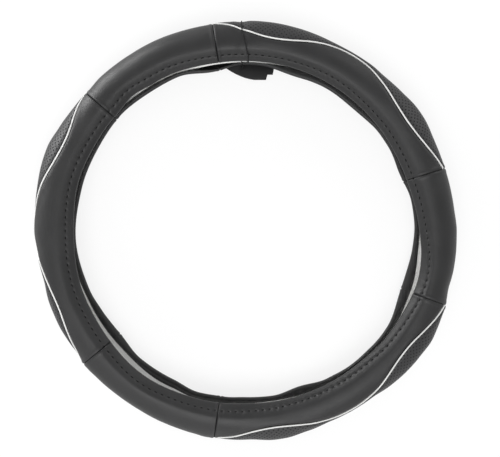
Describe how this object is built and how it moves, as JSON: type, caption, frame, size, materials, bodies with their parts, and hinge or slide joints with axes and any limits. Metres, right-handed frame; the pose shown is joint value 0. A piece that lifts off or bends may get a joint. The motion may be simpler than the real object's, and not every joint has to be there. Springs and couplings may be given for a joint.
{
  "type": "steering wheel cover",
  "caption": "Soft sewn ring with a C-shaped section that stretches over a car's steering wheel rim, with smooth and perforated leather panels, wavy piping and padded thumb rests.",
  "frame": {"origin": "the middle of the ring, at the level of the flat at the rear of its section, on which it lies", "axes": "+Z along the ring's axis towards the driver, +Y towards the top of the wheel, +X to the driver's right"},
  "size_m": [0.3921, 0.3901, 0.0411],
  "materials": {
    "smooth_leather": "smooth semi-matt black leather with fine grain",
    "perforated_leather": "black leather with fine round perforations",
    "piping": "silver-white piping",
    "pale_rubber": "matt pale grey",
    "black_cord": "thin black cord",
    "black_plastic": "matt black"
  },
  "bodies": {
    "root": {"inner_ring": "pale_rubber", "smooth_panel_right": "smooth_leather", "smooth_panel_lower_left": "smooth_leather", "smooth_panel_upper_left": "smooth_leather", "front_panel_upper_right": "smooth_leather", "rear_panel_upper_right": "smooth_leather", "grip_panel_upper_right": "perforated_leather", "front_piping_upper_right": "piping", "rear_piping_upper_right": "piping", "front_panel_lower_right": "smooth_leather", "rear_panel_lower_right": "smooth_leather", "grip_panel_lower_right": "perforated_leather", "front_piping_lower_right": "piping", "rear_piping_lower_right": "piping", "front_panel_left": "smooth_leather", "rear_panel_left": "smooth_leather", "grip_panel_left": "perforated_leather", "front_piping_left": "piping", "rear_piping_left": "piping", "tie_cord": "black_cord", "hang_tab": "black_plastic"}
  },
  "joints": []
}
